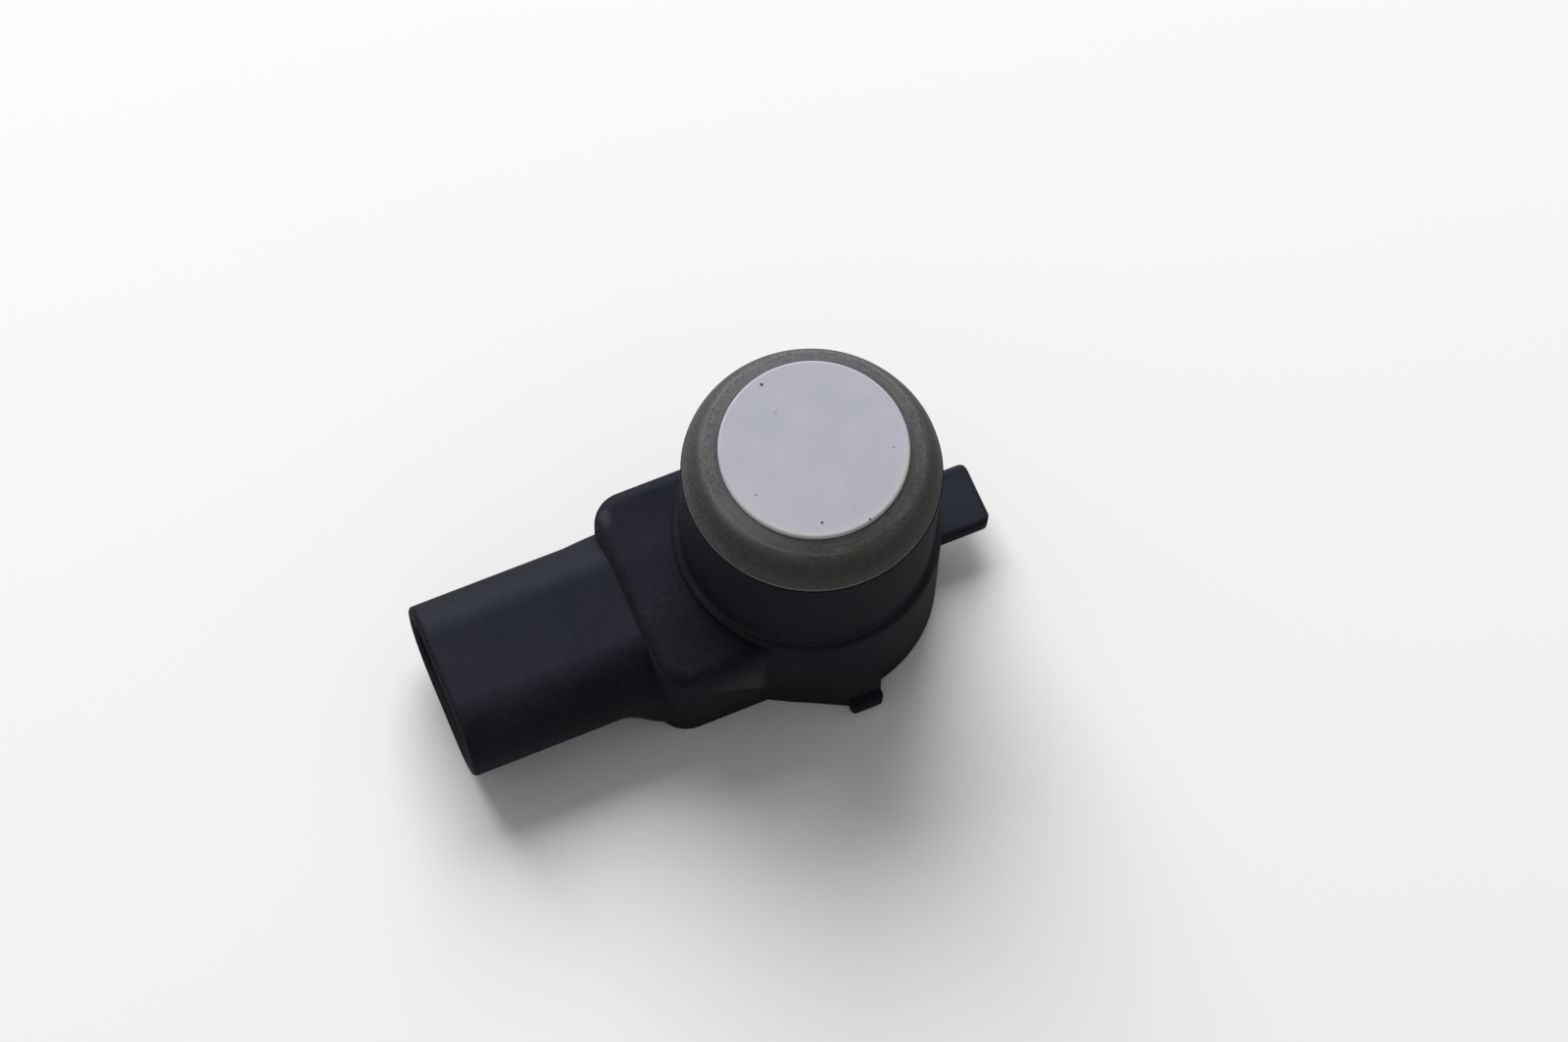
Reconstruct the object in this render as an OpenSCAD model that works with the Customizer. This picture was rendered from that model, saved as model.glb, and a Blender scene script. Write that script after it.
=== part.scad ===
// Ultrasonic parking sensor lying on its back, in millimetres.
// The membrane looks along +Z, the connector hood points along -X and the end tab along +X.
// The origin is on the tower's axis, in the plane of the flat back.

/* [Membrane and silicone ring] */
// Diameter of the membrane cup and its painted face
membrane_d = 15.5; // [13:0.1:18]
// Height of the membrane cup
cup_h = 9.5; // [8:0.1:12]
// Side wall of the membrane cup
cup_wall = 1; // [0.6:0.05:1.4]
// Thickness of the membrane
membrane_t = 0.7; // [0.4:0.05:1.2]
// Rounding of the membrane's edge
membrane_edge_r = 0.4; // [0.1:0.05:0.6]
// Width of the collar at the cup's open end
cup_collar = 0.6; // [0.3:0.05:0.9]
// Height of the collar at the cup's open end
cup_collar_h = 1.2; // [0.6:0.1:2]
// Wall of the silicone ring between cup and tower
ring_wall = 1.6; // [1.4:0.05:2.5]
// Height of the silicone ring above the tower's rim
ring_rise = 4.2; // [2.5:0.1:6]
// Width of the ring's gentle inner slope beside the membrane
ring_slope_w = 1.4; // [0.8:0.05:2]
// Fall of the ring's gentle inner slope
ring_slope_drop = 0.7; // [0.2:0.05:1.2]
// Rounding between the ring's two slopes
ring_crease_r = 1; // [0.3:0.1:1.5]
// Height of the upright lip round the ring's foot
ring_lip_h = 0.35; // [0.2:0.05:0.8]
// Thickness of the ring's floor under the cup
ring_floor_t = 1.2; // [0.6:0.1:2]
// Width of the ring's floor that reaches inside the cup's wall
ring_floor_reach = 0.6; // [0.3:0.1:1.2]
// How far the membrane stands proud of the ring
membrane_proud = 0.3; // [0.1:0.05:0.8]

/* [Tower and base] */
// Wall of the tower round the silicone ring
tower_wall = 1.35; // [1:0.05:2.5]
// Width of tower rim left bare outside the ring
rim_bare = 0.1; // [0.05:0.05:0.8]
// Height of the tower above the body
tower_h = 12.7; // [10.5:0.1:18]
// Rounding of the tower's rim
rim_r = 0.1; // [0.05:0.05:0.3]
// How far the round base stands out from the tower
base_step = 0.65; // [0.3:0.05:1.5]
// How far the round base stands up above the body
base_rise = 0.7; // [0.2:0.1:1.5]
// Rounding in the corner between tower and round base
tower_foot_r = 0.3; // [0.1:0.05:0.6]
// How much wider the round base is at its foot than at its top
base_draft = 0.25; // [0.1:0.05:0.8]
// Thickness of the shelf that carries the ring
shelf_t = 1.2; // [0.8:0.1:2]

/* [Body] */
// Width of the body
body_w = 18.6; // [16.8:0.1:21]
// Distance from the tower's axis to the body's connector end
body_x = 16.45; // [15:0.05:22]
// Rounding of the body's upright corners
body_corner_r = 2.9; // [2:0.1:4.5]
// Rounding of the body's top edges
body_edge_r = 1.2; // [0.4:0.1:1.6]
// Rounding of the edges round the back
foot_r = 0.3; // [0.1:0.05:0.4]
// Wall of the body
body_wall = 1.4; // [1:0.1:1.8]
// Rim of the body left beside the back cover
rim_w = 0.7; // [0.5:0.05:0.9]
// Thickness of the back cover
cover_t = 1.4; // [0.8:0.1:2]
// Bevel along the back cover's outer edge
cover_bevel = 0.25; // [0.1:0.05:0.5]

/* [Connector hood] */
// Width of the connector hood
hood_w = 15.4; // [13:0.1:16.5]
// Height of the connector hood
hood_h = 9.6; // [8.4:0.1:11]
// Length of the connector hood
hood_len = 16.8; // [14:0.1:22]
// Wall of the connector hood
hood_wall = 1.2; // [0.8:0.05:1.6]
// Rounding of the hood's long edges
hood_corner_r = 4.5; // [2.5:0.1:4.6]
// Rounding of the hood's edge at its mouth
mouth_r = 0.4; // [0.1:0.05:0.5]
// Bevel inside the hood's mouth that leads the plug in
lead_in = 0.25; // [0.1:0.05:0.3]
// Gap between the hood's underside and the plane of the back
hood_lift = 1.2; // [1.1:0.1:3]
// Height of the body above the hood
hood_step = 0.8; // [0.3:0.1:2]
// Length of the flare ahead of the body where the hood's lower half widens into it
flare_len = 3.6; // [1:0.1:4]
// Length of the flare inside the body
flare_sink = 1; // [0.8:0.1:2.4]
// Thickness of the wall at the bottom of the socket, ahead of the body's wall
socket_wall = 0.6; // [0.3:0.1:1.5]
// Width of the guide ribs in the socket
guide_w = 0.9; // [0.6:0.1:1.4]
// Height of the guide ribs in the socket
guide_h = 0.7; // [0.4:0.1:1]
// Spacing of the guide ribs in the socket
guide_pitch = 5; // [3.5:0.1:6]
// Width of the plug catch under the hood
catch_w = 4; // [2:0.1:6]
// Length of the plug catch under the hood
catch_len = 3.5; // [2:0.1:6]
// Height of the plug catch under the hood
catch_h = 0.9; // [0.5:0.1:1]
// Distance from the hood's mouth to the plug catch
catch_back = 3; // [1:0.1:6]

/* [Tab, lugs and snap noses] */
// How far the end tab stands out from the base
tab_out = 4.8; // [2:0.1:8]
// Width of the end tab
tab_w = 6; // [3:0.1:8]
// Thickness of the end tab
tab_t = 1.8; // [1.4:0.1:4]
// Height of the end tab's underside above the back
tab_z = 2.8; // [0.5:0.1:5]
// Rounding of the end tab's corners
tab_r = 1; // [0.2:0.1:1.4]
// Rounding of the end tab's outer edges
tab_edge_r = 0.5; // [0.1:0.1:0.6]
// How far the latch shoulders stand out from the base
shoulder_out = 0.8; // [0.3:0.1:1.2]
// Length of the latch shoulders along the body
shoulder_len = 7; // [6:0.1:9]
// How far the lugs stand out from the base
lug_out = 1.75; // [1.4:0.05:4]
// Width of the lugs
lug_w = 2.9; // [1.5:0.1:4]
// Position of the lugs along the body
lug_x = 0.5; // [-1:0.1:2]
// Height of the lugs
lug_h = 1.4; // [1:0.1:6]
// Rounding of the lugs' edges
lug_edge_r = 0.3; // [0.1:0.05:0.45]
// Width of the snap noses
nose_w = 5.2; // [2:0.1:5.6]
// Distance from the tower's axis to the snap noses
nose_x = 10.25; // [9.7:0.05:11]
// How far the snap noses stand out
nose_out = 0.8; // [0.4:0.1:1.2]
// Length of the snap noses' ramp at the tower
nose_h = 4.4; // [2.5:0.1:6]
// Length of the snap noses' ramp at the connector
nose_short_h = 1.4; // [0.8:0.1:2.4]

/* [Transducer parts] */
// Diameter of the piezo disc
piezo_d = 9; // [6:0.1:9.5]
// Thickness of the piezo disc
piezo_t = 0.4; // [0.2:0.05:0.8]
// Thickness of the plug in the cup
plug_t = 2.5; // [1.5:0.1:3.5]
// Diameter of the contact pins
contact_d = 0.6; // [0.4:0.05:0.8]
// Diameter of the fine lead wires
lead_d = 0.3; // [0.2:0.05:0.4]
// Length of contact pin above the plug
contact_top = 0.8; // [0.4:0.1:1.5]

/* [Circuit board and terminals] */
// Height of the board's underside above the back
board_z = 3; // [2.6:0.1:4]
// Thickness of the board
board_t = 1; // [0.6:0.1:1.6]
// Clearance between the board and the body's walls
board_gap = 0.4; // [0.2:0.05:0.7]
// Width of the ribs that the board rests against
rib_w = 1.6; // [1:0.1:2.5]
// Depth of the ribs that the board rests against
rib_depth = 1.3; // [1.1:0.1:1.6]
// Width of the terminal blades
blade_w = 1.2; // [0.6:0.1:1.6]
// Thickness of the terminal blades
blade_t = 0.6; // [0.4:0.05:0.8]
// Spacing of the terminal blades
blade_pitch = 3.4; // [2.5:0.1:3.8]
// Length of the blades in the socket
blade_reach = 8.5; // [5:0.1:9]
// Distance from the socket's wall to the blades' bend inside the body
blade_run = 2; // [1.6:0.1:2.4]
// Length of pin and blade ends below the board
tail = 0.8; // [0.4:0.1:1]
// Clearance round pins and blades in the board's holes
hole_gap = 0.1; // [0.05:0.01:0.2]

/* [Board components] */
// Side of the control chip
chip_w = 5; // [3:0.1:6]
// Height of the control chip
chip_h = 0.9; // [0.6:0.1:1.6]
// Diameter of the transformer
trafo_d = 6.2; // [5:0.1:6.4]
// Height of the transformer's base
trafo_base_h = 1; // [0.6:0.1:2]
// Height of the transformer's core
trafo_core_h = 4.4; // [3:0.1:6]
// Diameter of the storage capacitor
storage_d = 4; // [3:0.1:4.4]
// Height of the storage capacitor
storage_h = 4.6; // [3:0.1:5]
// Length of the small chip parts
small_len = 1.6; // [1:0.1:2]
// Width of the small chip parts
small_w = 0.8; // [0.5:0.1:1]
// Height of the small capacitors
capacitor_h = 0.8; // [0.5:0.1:1.2]
// Height of the small resistors
resistor_h = 0.5; // [0.3:0.05:0.8]
// Spacing of the small chip parts
small_pitch = 1.5; // [1.2:0.1:1.6]

/* [Hidden] */
$fn = 96;
fit_gap = 0.05;
overlap = 0.5;
cup_r = membrane_d / 2;
cup_in_r = cup_r - cup_wall;
pocket_r = cup_r + ring_wall;
tower_r = pocket_r + tower_wall;
base_r = tower_r + base_step;
base_foot_r = base_r + base_draft;
body_top = hood_lift + hood_h + hood_step;
roof_z = body_top - body_wall;
rim_z = body_top + tower_h;
base_top = body_top + base_rise;
foot_fillet = min(tower_foot_r, base_step / 2);
base_edge_r = (base_step - foot_fillet) * 0.8;
ring_top = rim_z + ring_rise;
face_z = ring_top + membrane_proud;
cup_base = face_z - cup_h;
floor_in_z = face_z - membrane_t;
pocket_floor = cup_base - ring_floor_t;
shelf_z = pocket_floor - shelf_t;
ring_foot_r = tower_r - rim_bare;
ring_out_r = pocket_r - fit_gap;
ring_floor_r = cup_in_r - ring_floor_reach;
hood_end = body_x + hood_len;
flare_out = (body_w - hood_w) / 2 - fit_gap;
flare_steps = 5;
flare_skin = 0.02;
hood_mid_z = hood_lift + hood_h / 2;
hood_flat_min = 0.2;
hood_r = min(hood_corner_r, hood_h / 2 - hood_flat_min);
socket_x = body_x + socket_wall;
cavity_x = body_x - body_wall;
shoulder_y = base_foot_r + shoulder_out;
lug_y = base_foot_r + lug_out;
nose_top = body_top - body_edge_r;
piezo_r = piezo_d / 2;
piezo_back = floor_in_z - piezo_t;
plug_top = cup_base + plug_t;
live_y = piezo_r / 2;
ground_y = -(piezo_r + cup_in_r) / 2;
board_top = board_z + board_t;
board_inset = body_wall + board_gap;
board_r = base_r - board_inset;
board_half_w = body_w / 2 - board_inset;
tail_z = board_z - tail;
bend_x = cavity_x - blade_run;
trafo_r = trafo_d / 2;
part_gap = 0.9;
edge_gap = 1.3;
trafo_x = board_r - trafo_r - part_gap;
part_x0 = bend_x - blade_t / 2 - edge_gap;
chip_x = part_x0 - chip_w / 2;
chip_y = -board_half_w + chip_w / 2 + edge_gap;
storage_x = part_x0 - storage_d / 2;
storage_y = board_half_w - storage_d / 2 - edge_gap;
row_x = chip_x - chip_w / 2 - part_gap - small_w / 2;
row_side_x = -2.2;
resistor_y = board_half_w - 1.5 * small_pitch - small_w;
capacitor_y = resistor_y - 3 * small_pitch;

// Unit vector from one point of an outline to another
function toward(a, b) = (b - a) / norm(b - a);
// Half of the angle at corner i of an outline
function half_angle(p, i) =
    let (n = len(p), u = toward(p[i], p[(i + n - 1) % n]), v = toward(p[i], p[(i + 1) % n]))
    acos(u * v) / 2;
// Two points that cut corner i of an outline where its rounding starts and ends
function corner_cut(p, r, i) =
    let (n = len(p), t = r[i] / tan(half_angle(p, i)), before = p[(i + n - 1) % n], after = p[(i + 1) % n])
    r[i] == 0 ? [p[i]] : [p[i] + t * toward(p[i], before), p[i] + t * toward(p[i], after)];
// Centre of the rounding at corner i of an outline
function corner_mid(p, r, i) =
    let (n = len(p), u = toward(p[i], p[(i + n - 1) % n]), v = toward(p[i], p[(i + 1) % n]))
    p[i] + r[i] / sin(half_angle(p, i)) * toward([0, 0], u + v);

// Outline with a rounding of its own at each outward corner
module rounded_outline(p, r) {
    union() {
        polygon([for (i = [0 : len(p) - 1]) each corner_cut(p, r, i)]);
        for (i = [0 : len(p) - 1])
            if (r[i] > 0)
                translate(corner_mid(p, r, i))
                    circle(r[i]);
    }
}

// Rectangle about the origin with four alike round corners
module rounded_box(w, h, r) {
    rounded_outline([[-w / 2, -h / 2], [w / 2, -h / 2], [w / 2, h / 2], [-w / 2, h / 2]], [r, r, r, r]);
}

// Turns an outline drawn in Y and Z into a bar along X, from x0 to x1
module along_x(x0, x1) {
    translate([x0, 0, 0])
        rotate([90, 0, 90])
            linear_extrude(x1 - x0)
                children();
}

// Turns an outline drawn in X and Z into a bar along Y, about the middle plane
module along_y(w) {
    translate([0, w / 2, 0])
        rotate([90, 0, 0])
            linear_extrude(w)
                children();
}

// Upright round bar from one height to another
module upright(r, z0, z1) {
    translate([0, 0, z0])
        cylinder(r = r, h = z1 - z0);
}

// Plan of body and round base, drawn in by an inset all round
module plan_outline(inset) {
    half = body_w / 2 - inset;
    end_x = body_x - inset;
    corner = max(body_corner_r - inset, 0.6);
    union() {
        circle(base_r - inset);
        rounded_outline([[-end_x, -half], [0, -half], [0, half], [-end_x, half]], [corner, 0, 0, corner]);
    }
}

// Body with rounded upright corners and rounded top edges: two bars and two round corner posts
module body_block() {
    half = body_w / 2;
    inner_x = body_x - body_corner_r;
    inner_y = half - body_corner_r;
    r = body_edge_r;
    along_x(-inner_x, 0)
        rounded_outline([[-half, 0], [half, 0], [half, body_top], [-half, body_top]], [foot_r, foot_r, r, r]);
    along_y(2 * inner_y)
        rounded_outline([[-body_x, 0], [0, 0], [0, body_top], [-body_x, body_top]], [foot_r, 0, 0, r]);
    for (side = [-1, 1])
        translate([-inner_x, side * inner_y, 0])
            rotate_extrude()
                rounded_outline([[0, 0], [body_corner_r, 0], [body_corner_r, body_top], [0, body_top]],
                    [0, foot_r, r, 0]);
}

// Round base, a little wider at its foot, with a small rounding at its top edge
module round_base() {
    rotate_extrude()
        rounded_outline([[0, 0], [base_foot_r, 0], [base_r, base_top], [0, base_top]],
            [0, foot_r, base_edge_r, 0]);
}

// Tower with a rounded rim, and a hollow rounding in the corner at its foot
module tower() {
    foot_out = tower_r + foot_fillet;
    foot_top = base_top + foot_fillet;
    rotate_extrude()
        difference() {
            union() {
                rounded_outline([[0, 0], [tower_r, 0], [tower_r, rim_z], [0, rim_z]], [0, 0, rim_r, 0]);
                polygon([[0, 0], [foot_out, 0], [foot_out, base_top], [tower_r, foot_top], [0, foot_top]]);
            }
            translate([foot_out, foot_top])
                circle(foot_fillet);
        }
}

// Section of the flare: the hood's, with its lower corners drawn out, down and sharper and its top drawn in
module flare_section(out) {
    half_low = hood_w / 2 + out - flare_skin;
    half_top = hood_w / 2 - out / 4 - flare_skin;
    low = max(hood_lift - out + flare_skin, 0);
    top = hood_lift + hood_h - out / 4 - flare_skin;
    r = hood_r;
    r_low = hood_r - out;
    rounded_outline([[-half_low, low], [half_low, low], [half_top, top], [-half_top, top]],
        [r_low, r_low, r, r]);
}

// Thin slice of the flare, its widening an easy curve from nothing at the hood to full in the body
module flare_slice(i) {
    t = i / flare_steps;
    x = -body_x - flare_len + (flare_len + flare_sink) * t;
    along_x(x, x + 0.01)
        flare_section(flare_out * (1 - cos(180 * t)) / 2, $fn = 32);
}

// Flare where the hood's lower half widens into the body
module root_flare() {
    for (i = [0 : flare_steps - 1])
        hull() {
            flare_slice(i);
            flare_slice(i + 1);
        }
}

// Long oval block along X with its mouth at the hood's end: two bars and four round corner posts.
// The edge of its mouth is rounded by edge_r, or opened out by lead for a hollow.
module oval_block(w, h, corner, x1, edge_r, lead) {
    x0 = -hood_end;
    mid = hood_mid_z;
    long = x1 - x0;
    along_y(w - 2 * corner)
        mouth_outline(x0, x1, mid - h / 2, mid + h / 2, edge_r, lead);
    translate([0, 0, mid - h / 2 + corner])
        linear_extrude(h - 2 * corner)
            mouth_outline(x0, x1, -w / 2, w / 2, edge_r, lead);
    for (side = [-1, 1], up = [-1, 1])
        translate([x1, side * (w / 2 - corner), mid + up * (h / 2 - corner)])
            rotate([0, -90, 0])
                rotate_extrude()
                    if (lead > 0)
                        polygon([[0, 0], [corner, 0], [corner, long - lead], [corner + lead, long],
                            [0, long]]);
                    else
                        rounded_outline([[0, 0], [corner, 0], [corner, long], [0, long]], [0, 0, edge_r, 0]);
}

// Lengthwise outline of an oval block from x0 at its mouth to x1
module mouth_outline(x0, x1, low, high, edge_r, lead) {
    if (lead > 0)
        polygon([[x0, low - lead], [x0 + lead, low], [x1, low], [x1, high], [x0 + lead, high],
            [x0, high + lead]]);
    else
        rounded_outline([[x0, low], [x1, low], [x1, high], [x0, high]], [edge_r, 0, 0, edge_r]);
}

// Connector hood as a solid bar, with the catch for the plug under it
module hood_bar() {
    oval_block(hood_w, hood_h, hood_r, -body_x + body_corner_r, mouth_r, 0);
    root_flare();
    catch_x = -hood_end + catch_back;
    along_y(catch_w)
        polygon([[catch_x, hood_lift + overlap], [catch_x, hood_lift],
            [catch_x + catch_len - 0.6, hood_lift - catch_h], [catch_x + catch_len, hood_lift - catch_h],
            [catch_x + catch_len, hood_lift + overlap]]);
}

// Hollow of the connector socket
module socket() {
    difference() {
        oval_block(hood_w - 2 * hood_wall, hood_h - 2 * hood_wall, hood_r - hood_wall, -socket_x,
            0, lead_in);
        for (side = [-1, 1])
            translate([-hood_end + 1.5, side * guide_pitch / 2 - guide_w / 2, hood_lift])
                cube([hood_len, guide_w, hood_wall + guide_h]);
    }
}

// Bar at the end away from the connector
module end_tab() {
    tab_x = base_foot_r + tab_out;
    e = tab_edge_r;
    intersection() {
        translate([0, 0, tab_z])
            linear_extrude(tab_t)
                rounded_outline([[0, -tab_w / 2], [tab_x, -tab_w / 2], [tab_x, tab_w / 2], [0, tab_w / 2]],
                    [0, tab_r, tab_r, 0]);
        along_y(tab_w + 2)
            translate([0, tab_z])
                rounded_outline([[0, 0], [tab_x, 0], [tab_x, tab_t], [0, tab_t]], [0, e, e, 0]);
        along_x(0, tab_x + 1)
            translate([0, tab_z + tab_t / 2])
                rounded_box(tab_w, tab_t, e);
    }
}

// Shoulder on one side, flaring from the body out to the lug and leaning in to the round base
module latch_shoulder() {
    half = body_w / 2;
    lug_x0 = lug_x - lug_w / 2;
    lug_x1 = lug_x + lug_w / 2;
    out_r = shoulder_y + 0.3;
    top_z = body_top - base_step;
    intersection() {
        linear_extrude(body_top)
            polygon([[-shoulder_len, 0], [-shoulder_len, half], [lug_x0, shoulder_y], [lug_x1, shoulder_y],
                [lug_x1, 0]]);
        rotate_extrude()
            polygon([[0, 0], [out_r, 0], [out_r, lug_h], [base_r, top_z], [0, top_z]]);
    }
    intersection() {
        linear_extrude(lug_h)
            rounded_outline([[lug_x0, 0], [lug_x1, 0], [lug_x1, lug_y], [lug_x0, lug_y]], [0, 0, 0.5, 0.5]);
        along_x(lug_x0, lug_x1)
            rounded_outline([[0, 0], [lug_y, 0], [lug_y, lug_h], [0, lug_h]], [0, lug_edge_r, lug_edge_r, 0]);
    }
}

// Snap nose on one side, with its ramp towards the membrane and a slanting catch towards the back
module snap_nose() {
    half = body_w / 2;
    low_z = nose_top - nose_h;
    x0 = -nose_x - nose_w / 2;
    x1 = -nose_x + nose_w / 2;
    intersection() {
        along_x(x0, x1)
            polygon([[half - overlap, low_z], [half + nose_out, low_z], [half, nose_top],
                [half - overlap, nose_top]]);
        along_y(2 * body_w)
            polygon([[x0, nose_top - nose_short_h], [x1, low_z], [x1, nose_top], [x0, nose_top]]);
    }
}

// Ribs in the body that the board is pushed up against
module board_ribs() {
    depth = rib_depth + overlap;
    h = roof_z - board_top + overlap;
    mid_y = body_w / 2 - body_wall - rib_depth + depth / 2;
    for (side = [-1, 1]) {
        translate([-cavity_x + body_corner_r, side * mid_y - depth / 2, board_top])
            cube([rib_w, depth, h]);
        rotate([0, 0, side * 50])
            translate([base_r - body_wall - rib_depth, -rib_w / 2, board_top])
                cube([depth, rib_w, h]);
    }
}

// Slots for the three terminal blades in the wall between socket and body
module blade_slots() {
    for (i = [-1 : 1])
        translate([-socket_x - 1, i * blade_pitch - blade_w / 2, hood_mid_z - blade_t / 2])
            cube([socket_wall + body_wall + 2, blade_w, blade_t]);
}

module housing() {
    color("#1c1e24")
        difference() {
            union() {
                round_base();
                tower();
                body_block();
                hood_bar();
                end_tab();
                for (side = [0, 1])
                    mirror([0, side, 0]) {
                        latch_shoulder();
                        snap_nose();
                    }
            }
            upright(pocket_r, pocket_floor, rim_z + 1);
            upright(pocket_r, roof_z - 1, shelf_z);
            difference() {
                translate([0, 0, cover_t])
                    linear_extrude(roof_z - cover_t)
                        plan_outline(body_wall);
                board_ribs();
            }
            translate([0, 0, -1])
                linear_extrude(cover_t + 1)
                    plan_outline(rim_w);
            socket();
            blade_slots();
            for (y = [live_y, ground_y])
                translate([0, y, 0])
                    upright(contact_d / 2 + hole_gap, shelf_z - 1, pocket_floor + 1);
        }
}

module back_cover() {
    color("#202228")
        difference() {
            linear_extrude(cover_t)
                plan_outline(rim_w + fit_gap);
            difference() {
                translate([0, 0, -1])
                    linear_extrude(cover_bevel + 1)
                        plan_outline(rim_w - 1);
                translate([0, 0, -2])
                    linear_extrude(cover_bevel + 3)
                        plan_outline(rim_w + fit_gap + cover_bevel);
            }
        }
}

module diaphragm_cup() {
    collar_r = cup_r + cup_collar;
    color("#d9dbe2")
        difference() {
            union() {
                rotate_extrude()
                    rounded_outline([[0, cup_base], [cup_r, cup_base], [cup_r, face_z], [0, face_z]],
                        [0, 0, membrane_edge_r, 0]);
                upright(collar_r, cup_base, cup_base + cup_collar_h);
            }
            upright(cup_in_r, cup_base - 1, floor_in_z);
        }
}

// Half section of the ring: floor, sleeve in the tower, foot on the rim and two slopes
module ring_section() {
    sleeve_r = cup_r + fit_gap;
    groove_r = cup_r + cup_collar + fit_gap;
    groove_z = cup_base + cup_collar_h + fit_gap;
    crease = [cup_r + ring_slope_w, ring_top - ring_slope_drop];
    difference() {
        union() {
            rounded_outline([[sleeve_r, rim_z], [ring_foot_r, rim_z], [ring_foot_r, rim_z + ring_lip_h],
                crease, [sleeve_r, ring_top]], [0, 0, 0, ring_crease_r, 0]);
            translate([ring_floor_r, pocket_floor])
                square([ring_out_r - ring_floor_r, rim_z - pocket_floor + 0.3]);
        }
        translate([0, cup_base])
            square([sleeve_r, ring_top]);
        translate([0, cup_base])
            square([groove_r, groove_z - cup_base]);
    }
}

module decoupling_ring() {
    color("#55564f")
        rotate_extrude()
            ring_section();
}

module piezo_disc() {
    color("#c9b98a")
        upright(piezo_r, piezo_back, floor_in_z);
}

module damping_foam() {
    color("#3f4a57")
        difference() {
            upright(cup_in_r - fit_gap, plug_top, piezo_back);
            for (y = [live_y, ground_y])
                translate([0, y, 0])
                    upright(contact_d / 2 + hole_gap, plug_top - 1, piezo_back + 1);
        }
}

module cup_plug() {
    color("#8a7a5c")
        difference() {
            upright(cup_in_r - fit_gap, cup_base, plug_top);
            for (y = [live_y, ground_y])
                translate([0, y, 0])
                    upright(contact_d / 2 + fit_gap / 2, cup_base - 1, plug_top + 1);
        }
}

// Straight pin from under the board to above the plug
module contact_pin(y) {
    color("#c8b06a")
        translate([0, y, 0])
            upright(contact_d / 2, tail_z, plug_top + contact_top);
}

module contact_pin_live() {
    contact_pin(live_y);
}

module contact_pin_ground() {
    contact_pin(ground_y);
}

module lead_live() {
    color("#b5622e")
        translate([0, live_y, 0])
            upright(lead_d / 2, plug_top + contact_top, piezo_back);
}

module lead_ground() {
    color("#b5622e")
        translate([0, ground_y, 0])
            upright(lead_d / 2, plug_top + contact_top, floor_in_z);
}

module circuit_board() {
    slot_l = blade_t + 2 * hole_gap;
    slot_w = blade_w + 2 * hole_gap;
    color("#1f5a35")
        difference() {
            translate([0, 0, board_z])
                linear_extrude(board_t)
                    plan_outline(board_inset);
            for (y = [live_y, ground_y])
                translate([0, y, 0])
                    upright(contact_d / 2 + hole_gap, board_z - 1, board_top + 1);
            for (i = [-1 : 1])
                translate([-bend_x - slot_l / 2, i * blade_pitch - slot_w / 2, board_z - 1])
                    cube([slot_l, slot_w, board_t + 2]);
        }
}

module control_chip() {
    color("#141416")
        difference() {
            translate([-chip_x - chip_w / 2, chip_y - chip_w / 2, board_top])
                cube([chip_w, chip_w, chip_h]);
            translate([-chip_x - chip_w / 2 + 0.8, chip_y - chip_w / 2 + 0.8, board_top + chip_h - 0.1])
                cylinder(r = 0.3, h = 1);
        }
}

module transformer_base() {
    color("#26262a")
        translate([trafo_x, 0, 0])
            upright(trafo_r, board_top, board_top + trafo_base_h);
}

module transformer_core() {
    z0 = board_top + trafo_base_h;
    flange = trafo_core_h * 0.2;
    color("#3b3d42")
        translate([trafo_x, 0, 0]) {
            upright(trafo_r - 0.3, z0, z0 + flange);
            upright(trafo_r * 0.4, z0, z0 + trafo_core_h);
            upright(trafo_r - 0.3, z0 + trafo_core_h - flange, z0 + trafo_core_h);
        }
}

module transformer_winding() {
    z0 = board_top + trafo_base_h + trafo_core_h * 0.2;
    z1 = board_top + trafo_base_h + trafo_core_h * 0.8;
    color("#b5622e")
        translate([trafo_x, 0, 0])
            difference() {
                upright(trafo_r - 0.6, z0, z1);
                upright(trafo_r * 0.4 + fit_gap, z0 - 1, z1 + 1);
            }
}

module storage_capacitor() {
    color("#a7abb3")
        translate([-storage_x, storage_y, 0]) {
            translate([-storage_d / 2, -storage_d / 2, board_top])
                cube([storage_d, storage_d, storage_h * 0.2]);
            upright(storage_d / 2 - 0.1, board_top, board_top + storage_h);
        }
}

// Row of small chip parts that lie across the board, about the middle line
module chip_row(x, y, count, h) {
    for (i = [0 : count - 1])
        translate([x - small_len / 2, y + (i - (count - 1) / 2) * small_pitch - small_w / 2, board_top])
            cube([small_len, small_w, h]);
}

module ceramic_capacitors() {
    color("#b08d62")
        chip_row(-row_x + small_len / 2, capacitor_y, 3, capacitor_h);
}

module resistors() {
    color("#2b2b2e")
        chip_row(row_side_x, resistor_y, 3, resistor_h);
}

// Bent blade: flat in the socket, through the wall, then down through the board
module terminal(i) {
    tip = -socket_x - blade_reach;
    z = hood_mid_z;
    t = blade_t / 2;
    color("#c3c6c9")
        translate([0, i * blade_pitch, 0])
            along_y(blade_w)
                rounded_outline([[tip, z - t / 2], [tip + 1, z - t], [-bend_x - t, z - t],
                    [-bend_x - t, tail_z], [-bend_x + t, tail_z], [-bend_x + t, z + t],
                    [tip + 1, z + t], [tip, z + t / 2]], [0, 0, 0, 0, 0, t, 0, 0]);
}

module terminal_supply() {
    terminal(-1);
}

module terminal_signal() {
    terminal(0);
}

module terminal_ground() {
    terminal(1);
}

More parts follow.
